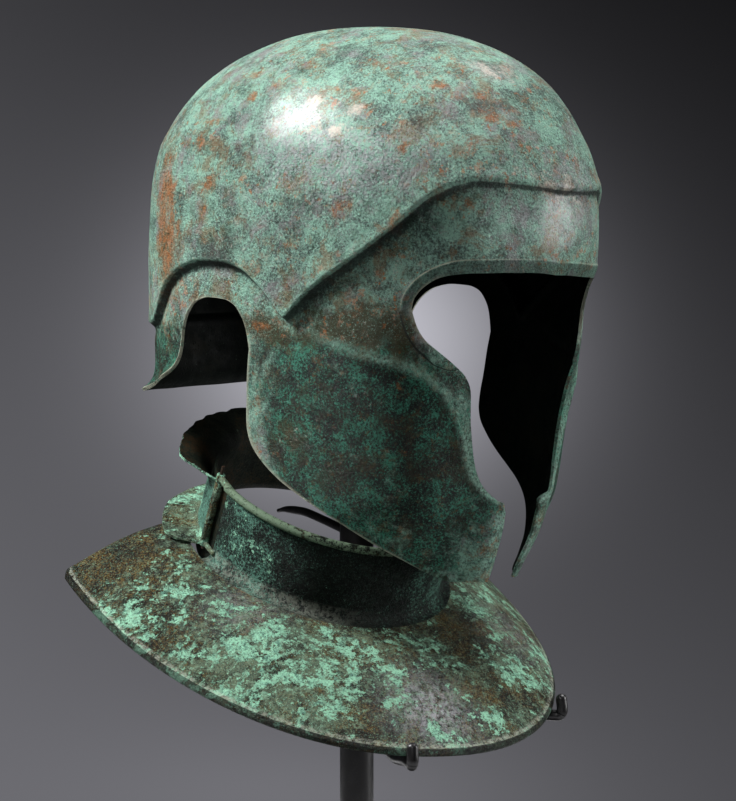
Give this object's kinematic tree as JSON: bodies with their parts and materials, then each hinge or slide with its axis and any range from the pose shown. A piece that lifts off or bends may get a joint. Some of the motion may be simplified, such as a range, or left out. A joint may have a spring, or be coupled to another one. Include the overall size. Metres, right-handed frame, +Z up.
{
  "type": "bronze helmet with gorget on display stand",
  "caption": "Rounded bronze helmet with raised brow line and hanging cheek guards, over a collared shoulder gorget, held by a black post and square foot.",
  "frame": {"origin": "middle of the stand base's underside, where it rests on the ground", "axes": "+Z up, -Y the way the helmet faces, +X towards the wearer's left"},
  "size_m": [0.2405, 0.2441, 0.4505],
  "materials": {
    "bronze_green": "matte mint-green patina with brown stains on cast bronze sheet",
    "bronze_brown": "dark brown patina with mint-green blotches",
    "bronze_back": "pale green and brown patina",
    "pin_bronze": "dull brown bronze",
    "stand_black": "satin black"
  },
  "bodies": {
    "root": {"helmet_shell": "bronze_green", "gorget_front": "bronze_brown", "gorget_back": "bronze_back", "hinge_pin_right": "pin_bronze", "closure_pin_left": "pin_bronze", "stand_base": "stand_black", "stand_post": "stand_black", "helmet_rest": "stand_black", "gorget_cradle": "stand_black"}
  },
  "joints": []
}
